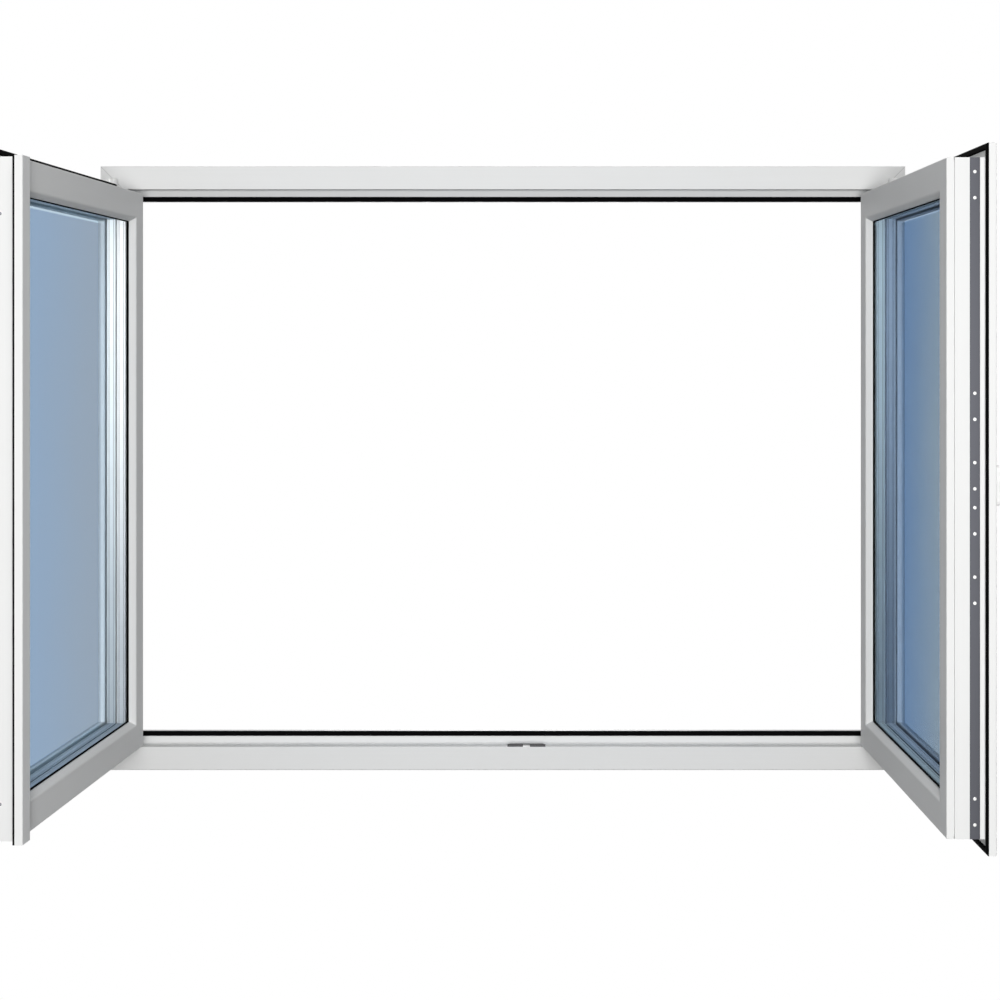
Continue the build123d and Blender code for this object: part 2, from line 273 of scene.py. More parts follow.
class PlasticSettings(bpy.types.PropertyGroup):
    """Plastic of the bars, the handle and the hinge caps."""

    bar_white: FloatVectorProperty(
        name="Bar white", description="Colour of the frame and leaf bars", subtype="COLOR", size=3,
        min=0, max=1, default=(0.84, 0.845, 0.84))
    bar_roughness: FloatProperty(
        name="Bar roughness", description="How dull the bars are", subtype="FACTOR", min=0, max=1, default=0.42)
    grain_length: FloatProperty(
        name="Grain length", description="Length of the drawn marks along a bar", unit="LENGTH", default=0.35)
    grain_width: FloatProperty(
        name="Grain width", description="Width of the drawn marks along a bar", unit="LENGTH", default=0.0035)
    weld_width: FloatProperty(
        name="Weld width", description="Width of the cleaned weld line at a corner", unit="LENGTH", default=0.0016)
    bead_radius: FloatProperty(
        name="Bead radius", description="Rounding of a glazing bead's edge", unit="LENGTH", default=0.0022)
    handle_white: FloatVectorProperty(
        name="Handle white", description="Colour of the handle and hinge caps", subtype="COLOR", size=3,
        min=0, max=1, default=(0.86, 0.86, 0.85))


class GlazingSettings(bpy.types.PropertyGroup):
    """Glass, spacers and rubber."""

    left_outer: FloatVectorProperty(
        name="Left outer pane", description="Colour that the left leaf's outer pane gives to light",
        subtype="COLOR", size=3, min=0, max=1, default=(0.95, 0.965, 0.975))
    left_middle: FloatVectorProperty(
        name="Left middle pane", description="Colour that the left leaf's middle pane gives to light",
        subtype="COLOR", size=3, min=0, max=1, default=(0.88, 0.92, 0.94))
    left_coat: FloatVectorProperty(
        name="Left coat", description="Colour that the left leaf's coated pane gives to light",
        subtype="COLOR", size=3, min=0, max=1, default=(0.331, 0.448, 0.614))
    left_coat_hinge: FloatVectorProperty(
        name="Left coat at hinge", description="The same colour near the hinges",
        subtype="COLOR", size=3, min=0, max=1, default=(0.364, 0.424, 0.506))
    # Painted light: width of the strip beside the hinges where the left coated pane is painted lighter.
    left_coat_rim: FloatProperty(
        name="Left coat rim", description="Width of the strip at the hinge side where the coat thins out",
        unit="LENGTH", default=0.050)
    right_outer: FloatVectorProperty(
        name="Right outer pane", description="Colour that the right leaf's outer pane gives to light",
        subtype="COLOR", size=3, min=0, max=1, default=(0.50, 0.62, 0.70))
    right_middle: FloatVectorProperty(
        name="Right middle pane", description="Colour that the right leaf's middle pane gives to light",
        subtype="COLOR", size=3, min=0, max=1, default=(0.64, 0.69, 0.82))
    right_coat: FloatVectorProperty(
        name="Right coat", description="Colour that the right leaf's coated pane gives to light",
        subtype="COLOR", size=3, min=0, max=1, default=(0.88, 0.80, 0.64))
    right_coat_hinge: FloatVectorProperty(
        name="Right coat at hinge", description="The same colour near the hinges",
        subtype="COLOR", size=3, min=0, max=1, default=(0.37, 0.50, 0.66))
    # Painted light: width of the strip beside the hinges where the right coated pane is painted lighter.
    right_coat_rim: FloatProperty(
        name="Right coat rim", description="Width of the strip at the hinge side where the coat thins out",
        unit="LENGTH", default=0.074)
    # Painted light: colours of the coated pane in its lighter strips beside the hinges and at the foot and head, and
    # the height of that strip at the foot and head.
    left_rim: FloatVectorProperty(
        name="Left rim", description="Colour of the thin coat beside the left leaf's hinges", subtype="COLOR", size=3,
        min=0, max=1, default=(0.74, 0.80, 0.86))
    right_rim: FloatVectorProperty(
        name="Right rim", description="Colour of the thin coat beside the right leaf's hinges", subtype="COLOR", size=3,
        min=0, max=1, default=(1.0, 1.0, 1.0))
    left_ends: FloatVectorProperty(
        name="Left ends", description="Colour of the thin coat at the left leaf's foot and head", subtype="COLOR",
        size=3, min=0, max=1, default=(0.60, 0.72, 0.82))
    right_ends: FloatVectorProperty(
        name="Right ends", description="Colour of the thin coat at the right leaf's foot and head", subtype="COLOR",
        size=3, min=0, max=1, default=(1.0, 1.0, 1.0))
    foot_rim: FloatProperty(
        name="Foot rim", description="Height of the strip at the foot and head where the coat thins out", unit="LENGTH",
        default=0.012)
    pane_pitch: FloatProperty(
        name="Pane pitch", description="Distance from one pane to the next", unit="LENGTH", default=0.020)
    glass_gap: FloatProperty(
        name="Glass gap", description="Distance from the glass edge to the foot of the bead", unit="LENGTH",
        default=0.005)
    post_seal_height: FloatProperty(
        name="Post seal height", description="How far the post's seal stands off the cover lip", unit="LENGTH",
        default=0.0032)
    glass_ior: FloatProperty(
        name="Glass bend", description="Refractive index of the panes", min=1, max=2, default=1.005)
    # Painted light and shade on the spacer bars: upright bars go from a painted lit white at the top to a painted shade
    # grey at their foot, and the level bars get their own painted colour, darker on the left leaf and lighter on the
    # right.
    spacer_white: FloatVectorProperty(
        name="Spacer white", description="Colour of the spacer bars between the panes", subtype="COLOR", size=3,
        min=0, max=1, default=(0.95, 0.96, 0.96))
    spacer_grey: FloatVectorProperty(
        name="Spacer grey", description="Duller colour of the same bars towards their foot", subtype="COLOR", size=3,
        min=0, max=1, default=(0.36, 0.39, 0.42))
    left_spacer_ends: FloatVectorProperty(
        name="Left spacer ends", description="Colour of the left leaf's level spacer bars", subtype="COLOR", size=3,
        min=0, max=1, default=(0.27, 0.34, 0.42))
    right_spacer_ends: FloatVectorProperty(
        name="Right spacer ends", description="Colour of the right leaf's level spacer bars", subtype="COLOR", size=3,
        min=0, max=1, default=(0.80, 0.80, 0.78))
    # Painted shade: the right leaf's spacers are painted darker than the same bars on the left.
    right_spacer_shade_share: FloatProperty(
        name="Right spacer share", description="How light the right leaf's spacers are beside the left ones",
        subtype="FACTOR", min=0, max=1, default=0.62)
    hole_diameter: FloatProperty(
        name="Hole diameter", description="Size of the spacer's drying holes", unit="LENGTH", default=0.0020)
    hole_spacing: FloatProperty(
        name="Hole spacing", description="Distance between drying holes in a row", unit="LENGTH", default=0.0034)
    hole_row_offset: FloatProperty(
        name="Hole row offset", description="Distance of a row from the spacer's middle", unit="LENGTH",
        default=0.0046)
    rubber_black: FloatVectorProperty(
        name="Rubber black", description="Colour of seals and gaskets", subtype="COLOR", size=3,
        min=0, max=1, default=(0.002, 0.002, 0.0022))
    # Partly painted light: a grey gasket, made paler so that its shaded recess beside the glass looks lighter.
    gasket_grey: FloatVectorProperty(
        name="Gasket grey", description="Colour of the gasket on the room side of the glass", subtype="COLOR", size=3,
        min=0, max=1, default=(0.62, 0.64, 0.66))


class HardwareSettings(bpy.types.PropertyGroup):
    """Faceplates, keep and screws."""

    steel_grey: FloatVectorProperty(
        name="Steel grey", description="Colour of the lock faceplates", subtype="COLOR", size=3,
        min=0, max=1, default=(0.086, 0.088, 0.102))
    zinc_grey: FloatVectorProperty(
        name="Zinc grey", description="Colour of the cast keep on the sill", subtype="COLOR", size=3,
        min=0, max=1, default=(0.06, 0.06, 0.063))
    screw_silver: FloatVectorProperty(
        name="Screw silver", description="Colour of the screw heads", subtype="COLOR", size=3,
        min=0, max=1, default=(0.86, 0.86, 0.85))
    screw_grey: FloatVectorProperty(
        name="Screw grey", description="Colour of the meeting post's screw heads", subtype="COLOR", size=3,
        min=0, max=1, default=(0.30, 0.30, 0.31))
    screw_diameter: FloatProperty(
        name="Screw diameter", description="Size of a screw head", unit="LENGTH", default=0.0056)
    # Size of the pale pad set in the keep's notch.
    pad_width: FloatProperty(
        name="Pad width", description="Width of the wear pad in the keep's notch", unit="LENGTH", default=0.0136)
    pad_depth: FloatProperty(
        name="Pad depth", description="How far the wear pad reaches into the notch", unit="LENGTH", default=0.0115)
    pad_height: FloatProperty(
        name="Pad height", description="Height of the wear pad in the keep's notch", unit="LENGTH", default=0.0018)


class StageSettings(bpy.types.PropertyGroup):
    """Camera, lamps and floor."""

    camera_place: FloatVectorProperty(
        name="Camera place", description="Where the level camera stands", subtype="XYZ", unit="LENGTH", size=3,
        default=(-0.0058, -3.869, 0.837))
    lens: FloatProperty(name="Lens", description="Focal length in millimetres", default=69.4)
    camera_shift: FloatProperty(name="Camera shift", description="Vertical lens shift", default=-0.151)
    sky_light: FloatProperty(name="Sky light", description="Strength of the soft light from above", default=0.33)
    ground_light: FloatProperty(
        name="Ground light", description="Strength of the soft light from below", default=0.03)
    front_power: FloatProperty(name="Front power", description="Power of the front lamp", unit="POWER", default=126)
    front_place: FloatVectorProperty(
        name="Front place", description="Where the front lamp stands", subtype="XYZ", unit="LENGTH", size=3,
        default=(0.0, -4.6, 0.7))
    front_size: FloatProperty(name="Front size", description="Side of the front lamp", unit="LENGTH", default=0.9)
    top_power: FloatProperty(name="Top power", description="Power of the upper lamp", unit="POWER", default=25)
    top_place: FloatVectorProperty(
        name="Top place", description="Where the upper lamp hangs", subtype="XYZ", unit="LENGTH", size=3,
        default=(0.0, -3.2, 3.0))
    top_size: FloatProperty(name="Top size", description="Side of the upper lamp", unit="LENGTH", default=1.6)
    fill_power: FloatProperty(
        name="Fill power", description="Power of each lamp that lights the sides away from the camera", unit="POWER",
        default=90)
    fill_distance: FloatProperty(
        name="Fill distance", description="How far the fill lamps stand from the middle", unit="LENGTH", default=4.6)
    fill_size: FloatProperty(name="Fill size", description="Side of each fill lamp", unit="LENGTH", default=1.6)
    floor_drop: FloatProperty(
        name="Floor drop", description="Height of the window's underside above the floor", unit="LENGTH",
        default=0.9)


class WindowSettings(bpy.types.PropertyGroup):
    """All settings of the window."""

    plastic: PointerProperty(type=PlasticSettings)
    glazing: PointerProperty(type=GlazingSettings)
    hardware: PointerProperty(type=HardwareSettings)
    stage: PointerProperty(type=StageSettings)


# Finishes

def bar_plastic(name, settings, turn, grain, ring=None):
    """White extruded plastic with faint drawn marks and the weld lines of a mitred ring."""
    finish = Finish(name)
    marks = finish.grain(turn, grain)
    clouds = finish.grain(0, (0.11, 0.11, 0.11))
    height = marks
    dark = marks * 0.03 + clouds * 0.02
    if ring:
        middle, along, half_width, half_height = ring
        across = abs(finish.along(middle, along)) - half_width
        upward = abs(finish.along(middle, UP)) - half_height
        weld = 1 - finish.step(abs(across - upward), settings.weld_width * 0.4, settings.weld_width)
        dark = dark + weld * 0.22
        height = marks - weld * 4.0
    white = Vector(settings.bar_white)
    return finish.surface({
        "Base Color": finish.tint(dark, white, white * 0.1),
        "Roughness": settings.bar_roughness + (clouds - 0.5) * 0.1,
        "Specular IOR Level": 0.04,
        "Normal": finish.bump(height, 0.00004),
    })


def moulded_plastic(name, colour, roughness):
    """Smooth injection-moulded plastic with a fine eroded skin."""
    finish = Finish(name)
    skin = finish.grain(0, (0.0006, 0.0006, 0.0006))
    clouds = finish.grain(0, (0.02, 0.02, 0.02))
    return finish.surface({
        "Base Color": finish.tint(clouds * 0.05, Vector(colour), Vector(colour) * 0.3),
        "Roughness": roughness + (skin - 0.5) * 0.12,
        "Specular IOR Level": 0.4,
        "Coat Weight": 0.08,
        "Normal": finish.bump(skin, 0.00002),
    })


def coated_glass(side, settings):
    """Triple glazing: two clear panes, and a coated one on the room side whose blue cast drifts along the leaf. As
    painted light, the coated pane is painted lighter in a strip beside the hinges and at the foot and head, so the
    beads and spacers seen through it look lit.
    """
    finish = Finish(f"{side} coated glass")
    leaf = leaves[side]
    half_width = max(point.x for point in leaf.local(f"{side}_leaf_panes"))
    outer, middle, coat, coat_hinge = (
        Vector(getattr(settings, f"{side}_{name}")) for name in ("outer", "middle", "coat", "coat_hinge"))
    clouds = finish.grain(0, (0.4, 0.4, 0.4))
    reach = finish.along(leaf.middle, leaf.along)
    drift = finish.step(reach + (clouds - 0.5) * 0.2, -half_width, half_width)
    # Painted light: the coat is painted lighter in a strip beside the hinges, so the bead seen through it looks lit.
    sight = -min(abs(point.x) for point in leaf.local(f"{side}_leaf_spacers"))
    rim = getattr(settings, f"{side}_coat_rim")
    fade = 0.25
    lightened = 1 - finish.step(reach, sight + rim * (1 - fade), sight + rim)
    # Painted light: the coat is painted lighter at the foot and head too.
    level = abs(finish.along(leaf.middle, UP))
    edge = min(abs(point.z) for point in leaf.local(f"{side}_leaf_spacers"))
    ends = finish.step(level, edge - settings.foot_rim, edge - settings.foot_rim * 0.8)
    coat_and_lit_ends = finish.tint(ends, finish.tint(drift, coat_hinge, coat), Vector(getattr(settings, f"{side}_ends")))
    room_pane = finish.tint(lightened, coat_and_lit_ends, Vector(getattr(settings, f"{side}_rim")))
    depth = finish.along(leaf.middle, leaf.outward)
    half_pitch, blend = settings.pane_pitch / 2, 0.001
    beyond_room = finish.step(depth, -half_pitch, blend - half_pitch)
    beyond_middle = finish.step(depth, half_pitch, half_pitch + blend)
    return finish.surface({
        "Base Color": finish.tint(beyond_middle, finish.tint(beyond_room, room_pane, middle), outer),
        "Roughness": 0.0,
        "IOR": settings.glass_ior,
        "Transmission Weight": 1.0,
    })


def rubber(name, settings):
    """Matt black seal rubber with a fine extruded skin."""
    finish = Finish(name)
    skin = finish.grain(0, (0.0012, 0.0012, 0.0012))
    dust = finish.grain(0, (0.05, 0.05, 0.05))
    black = Vector(settings.rubber_black)
    return finish.surface({
        "Base Color": finish.tint(dust * 0.3, black, black * 2.2),
        "Roughness": 0.8 + (skin - 0.5) * 0.25,
        "Specular IOR Level": 0.02,
        "Normal": finish.bump(skin, 0.00006),
    })


def gasket_rubber(side, settings):
    """Glazing gaskets: black on the outer side of the glass, grey on the room side, a grey made paler as painted light
    that lifts the shade in the recess beside the glass.
    """
    finish = Finish(f"{side} gasket rubber")
    leaf = leaves[side]
    skin = finish.grain(0, (0.0012, 0.0012, 0.0012))
    outward = finish.step(finish.along(leaf.middle, leaf.outward), -0.001, 0.001)
    return finish.surface({
        "Base Color": finish.tint(outward, Vector(settings.gasket_grey), Vector(settings.rubber_black)),
        "Roughness": 0.8 + (skin - 0.5) * 0.25,
        "Specular IOR Level": 0.02,
        "Normal": finish.bump(skin, 0.00006),
    })


def spacer_bar(side, settings, share):
    """Rolled spacer bars with painted light and shade: upright ones painted bright above and darker towards their foot,
    and darker still by share as painted shade on the right leaf; level ones in one painted colour per leaf.
    """
    finish = Finish(f"{side} spacer white")
    leaf = leaves[side]
    low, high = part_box(f"{side}_leaf_spacers")
    edge = min(abs(point.z) for point in leaf.local(f"{side}_leaf_spacers"))
    blend, margin = 0.0005, 0.0001
    # Level bars get their own colour: painted shade on the left leaf, painted light on the right.
    ends = finish.step(abs(finish.along(leaf.middle, UP)), edge - margin - blend, edge - margin)
    skin = finish.grain(0, (0.002, 0.002, 0.002))
    # Painted light towards the top of the window, painted shade towards the foot.
    height = finish.step(finish.along(Vector(), UP) + (skin - 0.5) * 0.1, low.z, high.z)
    upright = finish.tint(height, Vector(settings.spacer_grey) * share, Vector(settings.spacer_white) * share)
    return finish.surface({
        "Base Color": finish.tint(ends, upright, Vector(getattr(settings, f"{side}_spacer_ends"))),
        "Roughness": 0.35 + (skin - 0.5) * 0.2,
        "Normal": finish.bump(skin, 0.00002),
    })


def metal(name, colour, roughness, grain, metallic):
    """Worked metal with marks along its grain and slightly uneven plating."""
    finish = Finish(name)
    marks = finish.grain(0, grain)
    clouds = finish.grain(0, (0.015, 0.015, 0.03))
    return finish.surface({
        "Base Color": finish.tint(marks * 0.25 + clouds * 0.15, Vector(colour), Vector(colour) * 0.6),
        "Roughness": roughness + (marks - 0.5) * 0.2,
        "Metallic": metallic,
        "Normal": finish.bump(marks, 0.00002),
    })


# Pieces

class WINDOW_OT_dress_bars(bpy.types.Operator):
    """Finish the frame bars, leaf bars, glazing beads and the meeting post in white plastic"""

    bl_idname = "two_leaf.dress_bars"
    bl_label = "Dress bars"

    def execute(self, context):
        settings = context.scene.two_leaf.plastic
        long_grain = (settings.grain_length, settings.grain_width, settings.grain_width)
        tall_grain = (settings.grain_width, settings.grain_width, settings.grain_length)
        low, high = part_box("frame_head")
        sill_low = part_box("frame_sill")[0]
        half_width = (high.x - low.x) / 2
        half_height = (high.z - sill_low.z) / 2
        middle = Vector(((low.x + high.x) / 2, 0, (high.z + sill_low.z) / 2))
        ring = (middle, Vector((1, 0, 0)), half_width, half_height)
        dress(("frame_head", "frame_sill"), bar_plastic("frame rail white", settings, 0, long_grain, ring))
        dress(("frame_left_jamb", "frame_right_jamb"), bar_plastic("frame jamb white", settings, 0, tall_grain, ring))
        for side, leaf in leaves.items():
            rail = bar_plastic(f"{side} rail white", settings, leaf.turn(), long_grain)
            stile = bar_plastic(f"{side} stile white", settings, 0, tall_grain)
            for end in ("bottom", "top"):
                dress((f"{side}_leaf_{end}_rail", f"{side}_leaf_{end}_bead"), rail)
            for edge in STILES[side]:
                dress((f"{side}_leaf_{edge}_stile", f"{side}_leaf_{edge}_bead"), stile)
        dress(("meeting_post", "meeting_post_end_caps"), bar_plastic("post white", settings, 0, tall_grain))
        return {"FINISHED"}


class WINDOW_OT_dress_glazing(bpy.types.Operator):
    """Finish the panes, spacers, gaskets and seals"""

    bl_idname = "two_leaf.dress_glazing"
    bl_label = "Dress glazing and seals"

    def execute(self, context):
        settings = context.scene.two_leaf.glazing
        black = rubber("seal rubber", settings)
        # The right leaf's spacers are painted darker as painted shade.
        spacer_shade_shares = {"left": 1.0, "right": settings.right_spacer_shade_share}
        for side in SIDES:
            dress((f"{side}_leaf_panes",), coated_glass(side, settings))
            nodes[f"{side}_leaf_panes"].visible_shadow = False
            dress((f"{side}_leaf_spacers",), spacer_bar(side, settings, spacer_shade_shares[side]))
            dress((f"{side}_leaf_glazing_gaskets",), gasket_rubber(side, settings))
            dress((f"{side}_leaf_overlap_seal",), black)
        dress(("frame_seal", "meeting_post_seal"), black)
        return {"FINISHED"}


class WINDOW_OT_dress_hardware(bpy.types.Operator):
    """Finish the handle, hinges, lock faceplates and the keep on the sill"""

    bl_idname = "two_leaf.dress_hardware"
    bl_label = "Dress hardware"

    def execute(self, context):
        settings = context.scene.two_leaf
        white = moulded_plastic("handle white", settings.plastic.handle_white, 0.3)
        dress(("handle_rosette", "handle_lever"), white)
        for side in SIDES:
            for level in ("bottom", "top"):
                dress((f"{side}_{level}_hinge_on_frame", f"{side}_{level}_hinge_on_leaf"), white)
        steel = metal("faceplate steel", settings.hardware.steel_grey, 0.45, (0.0008, 0.0008, 0.05), 0.7)
        zinc = metal("cast keep zinc", settings.hardware.zinc_grey, 0.5, (0.001, 0.001, 0.001), 0.6)
        dress(("lock_faceplates",), steel)
        dress(("tilt_keep",), zinc)
        return {"FINISHED"}


def spacer_guide(side):
    """Lines on the inner faces of both spacer rings of a leaf, two for each face."""
    offset = bpy.context.scene.two_leaf.glazing.hole_row_offset
    proud = 0.00005
    leaf = leaves[side]
    points = leaf.local(f"{side}_leaf_spacers")
    depths = sorted({round(point.y, 4) for point in points})
    inner_width = min(abs(point.x) for point in points) - proud
    inner_height = min(abs(point.z) for point in points) - proud
    spots = []
    for low, high in (depths[:2], depths[2:]):
        for row in (-offset, offset):
            depth = (low + high) / 2 + row
            for way in (-1, 1):
                side_face = leaf.along * -way
                for end in (-1, 1):
                    spots.append((leaf.world(way * inner_width, depth, end * inner_height), side_face))
                for end in (-1, 1):
                    spots.append((leaf.world(end * inner_width, depth, way * inner_height), UP * -way))
    edges = [(first, first + 1) for first in range(0, len(spots), 2)]
    return guide_mesh(f"{side} spacer lines", spots, edges)


class WINDOW_OT_punch_spacers(bpy.types.Operator):
    """Lay the two rows of drying holes along each spacer bar, as flat dark discs that paint the shade inside the holes
    """

    bl_idname = "two_leaf.punch_spacers"
    bl_label = "Punch spacer holes"

    def execute(self, context):
        settings = context.scene.two_leaf.glazing
        sizes = {"Hole Spacing": "NodeSocketFloat", "Hole Diameter": "NodeSocketFloat"}
        recipe = Recipe("spacer holes", sizes)
        line = recipe.node("GeometryNodeMeshToCurve", {}, {"Mesh": recipe.inputs["Guide"]})
        spread = {"Curve": line, "Length": recipe.inputs["Hole Spacing"]}
        spots = recipe.node("GeometryNodeCurveToPoints", {"mode": "LENGTH"}, spread)
        dot = {"Vertices": 8, "Radius": 0.5}
        hole = recipe.node("GeometryNodeMeshCircle", {"fill_type": "NGON"}, dot)
        placed = {
            "Points": spots,
            "Instance": hole,
            "Rotation": recipe.facing(),
            "Scale": recipe.inputs["Hole Diameter"],
        }
        recipe.close(recipe.node("GeometryNodeInstanceOnPoints", {}, placed))
        # Painted shade: dark discs stand in for the shade inside the holes.
        dark = moulded_plastic("hole dark", (0.05, 0.055, 0.06), 0.6)
        for side in SIDES:
            recipe.grow(
                f"{side}_spacer_holes", spacer_guide(side), "spacer_metal",
                hole_spacing=settings.hole_spacing, hole_diameter=settings.hole_diameter, finish=dark)
        return {"FINISHED"}


def screw_head(segments=24):
    """Head of unit diameter with a six-lobed socket, its rim at Z = 0."""
    rim, crown, socket_radius, lobe, depth = 0.5, 0.42, 0.15, 0.03, 0.1
    shape = bmesh.new()
    profile = (
        (rim, 0.0, 0), (rim, 0.05, 0), (crown, 0.1, 0),
        (socket_radius, 0.11, lobe), (socket_radius, 0.11 - depth, lobe))
    rings = []
    for radius, level, wave in profile:
        ring = []
        for index in range(segments):
            angle = 2 * math.pi * index / segments
            reach = radius + wave * math.cos(6 * angle)
            ring.append(shape.verts.new((reach * math.cos(angle), reach * math.sin(angle), level)))
        rings.append(ring)
    for outer, inner in zip(rings, rings[1:]):
        for index in range(segments):
            after = (index + 1) % segments
            shape.faces.new((outer[index], outer[after], inner[after], inner[index]))
    shape.faces.new(rings[-1])
    mesh = bpy.data.meshes.new("screw head")
    shape.to_mesh(mesh)
    shape.free()
    return mesh


def faceplate_screw_spots():
    """Screws on the face of the long faceplate."""
    leaf = leaves["right"]
    points = leaf.local("lock_faceplates")
    face = max(point.x for point in points)
    depth = mean([Vector((point.y, 0, 0)) for point in points]).x
    levels = [sign * level for level in FACEPLATE_SCREW_LEVELS for sign in (-1, 1)]
    return [(leaf.world(face, depth, level), leaf.along) for level in levels]


def post_screw_spots():
    """Screws on the free face of the meeting post."""
    leaf = leaves["left"]
    bars = leaf.local("left_leaf_meeting_stile")
    outer = max(point.y for point in bars)
    post = leaf.local("meeting_post")
    face = max(point.x for point in post if point.y < outer)
    return [(leaf.world(face, outer - POST_SCREW_DEPTH, level), leaf.along) for level in POST_SCREW_LEVELS]


class WINDOW_OT_drive_screws(bpy.types.Operator):
    """Set screw heads on the lock faceplate and the meeting post"""

    bl_idname = "two_leaf.drive_screws"
    bl_label = "Drive screws"

    def execute(self, context):
        settings = context.scene.two_leaf.hardware
        recipe = Recipe("screw heads", {"Head": "NodeSocketObject", "Head Diameter": "NodeSocketFloat"})
        head = recipe.node("GeometryNodeObjectInfo", {}, {"Object": recipe.inputs["Head"]}, "Geometry")
        placed = {
            "Points": recipe.inputs["Guide"],
            "Instance": head,
            "Rotation": recipe.facing(),
            "Scale": recipe.inputs["Head Diameter"],
        }
        recipe.close(recipe.node("GeometryNodeInstanceOnPoints", {}, placed))
        pattern = bpy.data.objects.new("screw head pattern", screw_head())
        context.scene.collection.objects.link(pattern)
        screws = {
            "faceplate_screws": (faceplate_screw_spots(), settings.screw_silver),
            "post_screws": (post_screw_spots(), settings.screw_grey),
        }
        for name, (spots, colour) in screws.items():
            finish = metal(name.replace("_", " "), colour, 0.3, (0.0006, 0.0006, 0.0006), 0.9)
            recipe.grow(
                name, guide_mesh(name, spots), "hardware_steel",
                head=pattern, head_diameter=settings.screw_diameter, finish=finish)
        bpy.data.objects.remove(pattern)
        return {"FINISHED"}


def bridged(name, first, last, material):
    """Bar between two matching loops of points, closed at both ends."""
    count = len(first)
    sides = [(index, (index + 1) % count, (index + 1) % count + count, index + count) for index in range(count)]
    ends = [tuple(range(count))[::-1], tuple(range(count, 2 * count))]
    shape = bmesh.new()
    corners = [shape.verts.new(point) for point in (*first, *last)]
    for face in sides + ends:
        shape.faces.new([corners[index] for index in face])
    bmesh.ops.recalc_face_normals(shape, faces=shape.faces)
    mesh = bpy.data.meshes.new(name)
    shape.to_mesh(mesh)
    shape.free()
    mesh.materials.append(material)
    piece = bpy.data.objects.new(name, mesh)
    bpy.context.scene.collection.objects.link(piece)
    return piece


def rounded_bead(width, outer, room, radius, steps=6):
    """Bead section as (inset, depth) points, with one rounded edge towards the room."""
    points = [(0, room), (0, outer), (width, outer)]
    for index in range(steps + 1):
        angle = math.pi / 2 * index / steps
        points.append((width - radius + radius * math.cos(angle), room + radius - radius * math.sin(angle)))
    return points


def fill_post_seal(height):
    """Post seal with square edges, which fills the gap behind the post's cover lip."""
    leaf = leaves["left"]
    points = leaf.local("meeting_post_seal")
    low, high = (Vector(pick(values) for values in zip(*points)) for pick in (min, max))
    seat = low.y + height
    section = [(low.x, low.y), (high.x, low.y), (high.x, seat), (low.x, seat)]
    loops = [[leaf.world(x, y, level) for x, y in section] for level in (low.z, high.z)]
    piece = bridged("meeting_post_seal_filled", *loops, nodes["meeting_post_seal"].material_slots[0].material)
    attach(piece, "root")
    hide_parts("meeting_post_seal")


class WINDOW_OT_round_beads(bpy.types.Operator):
    """Give the glazing beads their full rounded edge, and fill the gap behind the post's cover lip with its seal"""

    bl_idname = "two_leaf.round_beads"
    bl_label = "Round beads and post seal"

    def execute(self, context):
        settings = context.scene.two_leaf
        for side, leaf in leaves.items():
            ends = ("bottom", "top", *STILES[side])
            points = [point for end in ends for point in leaf.local(f"{side}_leaf_{end}_bead")]
            glass = leaf.local(f"{side}_leaf_panes")
            width = max(abs(point.x) for point in glass) + settings.glazing.glass_gap
            height = max(abs(point.z) for point in glass) + settings.glazing.glass_gap
            room = min(point.y for point in points)
            outer = max(point.y for point in points)
            inset = width - min(abs(point.x) for point in leaf.local(f"{side}_leaf_hinge_bead"))
            section = rounded_bead(inset, outer, room, settings.plastic.bead_radius)
            for end in ends:
                way = -1 if end in ("bottom", "hinge") else 1
                loops = []
                for reach in (-1, 1):
                    along, up = (way, reach) if end in STILES[side] else (reach, way)
                    loops.append([leaf.world(along * (width - d), y, up * (height - d)) for d, y in section])
                node = f"{side}_leaf_{end}_bead"
                material = nodes[node].material_slots[0].material
                piece = bridged(f"{node}_rounded", *loops, material)
                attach(piece, "root")
                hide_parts(node)
        fill_post_seal(settings.glazing.post_seal_height)
        return {"FINISHED"}


def soft_box(name, low, high, bevel):
    """Box between two corners with bevelled edges."""
    shape = bmesh.new()
    bmesh.ops.create_cube(shape, size=1.0)
    bmesh.ops.scale(shape, vec=high - low, verts=shape.verts)
    bmesh.ops.translate(shape, vec=(low + high) / 2, verts=shape.verts)
    bmesh.ops.bevel(shape, geom=shape.edges[:], offset=bevel, segments=2, profile=0.5, affect="EDGES")
    mesh = bpy.data.meshes.new(name)
    shape.to_mesh(mesh)
    shape.free()
    piece = bpy.data.objects.new(name, mesh)
    bpy.context.scene.collection.objects.link(piece)
    return piece


class WINDOW_OT_seat_keep_pad(bpy.types.Operator):
    """Set the pale pad into the notch of the keep on the sill"""

    bl_idname = "two_leaf.seat_keep_pad"
    bl_label = "Seat keep pad"

    def execute(self, context):
        settings = context.scene.two_leaf
        low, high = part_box("tilt_keep")
        middle = (low.x + high.x) / 2
        half = settings.hardware.pad_width / 2
        overhang, bevel = 0.001, 0.0003
        front = Vector((middle - half, low.y - overhang, low.z))
        back = Vector((middle + half, low.y + settings.hardware.pad_depth, low.z + settings.hardware.pad_height))
        pad = soft_box("keep_wear_pad", front, back, bevel)
        pad.data.materials.append(moulded_plastic("pad white", settings.plastic.handle_white, 0.4))
        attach(pad, "root")
        return {"FINISHED"}


# Stage

def backdrop_share(tree):
    """1 for rays that should meet a white studio: from the camera, off gloss and through glass."""
    path = add_node(tree, "ShaderNodeLightPath", {}, {})
    share = path.outputs["Is Camera Ray"]
    for label in ("Is Glossy Ray", "Is Transmission Ray"):
        either = {0: share, 1: path.outputs[label]}
        share = add_node(tree, "ShaderNodeMath", {"operation": "MAXIMUM"}, either).outputs[0]
    return share


